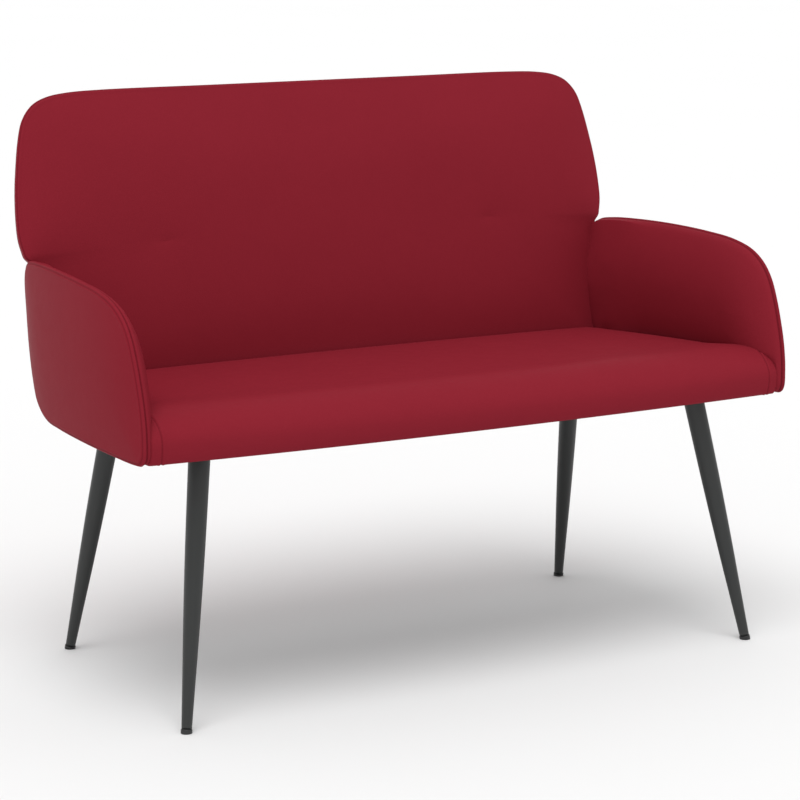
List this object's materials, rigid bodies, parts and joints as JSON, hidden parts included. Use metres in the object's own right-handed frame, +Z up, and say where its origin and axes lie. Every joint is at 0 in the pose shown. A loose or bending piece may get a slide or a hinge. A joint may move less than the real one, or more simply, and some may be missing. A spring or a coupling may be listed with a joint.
{
  "type": "two-seat sofa",
  "caption": "Upholstered two-seat sofa: crowned seat, raked waisted back and bowed padded arms on splayed tapered steel legs.",
  "frame": {"origin": "on the floor, under the middle of the sofa's overall width and depth", "axes": "+X towards the right arm as seen from the front, +Y towards the back, +Z up; the front faces -Y"},
  "size_m": [1.0876, 0.5484, 0.838],
  "materials": {
    "upholstery": "wine-red faux leather, satin, with a very fine grain and self-coloured stitched seams",
    "coated_steel": "charcoal powder coat, fine matt texture",
    "glide_plastic": "black moulded plastic, slightly scuffed underneath",
    "plywood": "raw birch plywood",
    "foam": "open-cell upholstery foam",
    "dust_cloth": "black non-woven dust cloth",
    "zinc_steel": "zinc-plated steel"
  },
  "bodies": {
    "root": {"seat_board": "plywood", "seat_foam": "foam", "seat_cover": "upholstery", "seat_dust_cover": "dust_cloth", "back_board": "plywood", "back_foam": "foam", "back_cover": "upholstery", "left_arm_board": "plywood", "right_arm_board": "plywood", "left_arm_foam": "foam", "right_arm_foam": "foam", "left_arm_cover": "upholstery", "right_arm_cover": "upholstery", "front_left_leg": "coated_steel", "front_right_leg": "coated_steel", "rear_left_leg": "coated_steel", "rear_right_leg": "coated_steel", "front_left_plate": "coated_steel", "front_right_plate": "coated_steel", "rear_left_plate": "coated_steel", "rear_right_plate": "coated_steel", "front_left_glide": "glide_plastic", "front_right_glide": "glide_plastic", "rear_left_glide": "glide_plastic", "rear_right_glide": "glide_plastic", "back_brackets": "zinc_steel", "arm_brackets": "zinc_steel", "arm_back_brackets": "zinc_steel", "leg_bolts": "zinc_steel", "leg_inserts": "zinc_steel", "seat_screws": "zinc_steel", "back_screws": "zinc_steel", "arm_screws": "zinc_steel"}
  },
  "joints": []
}
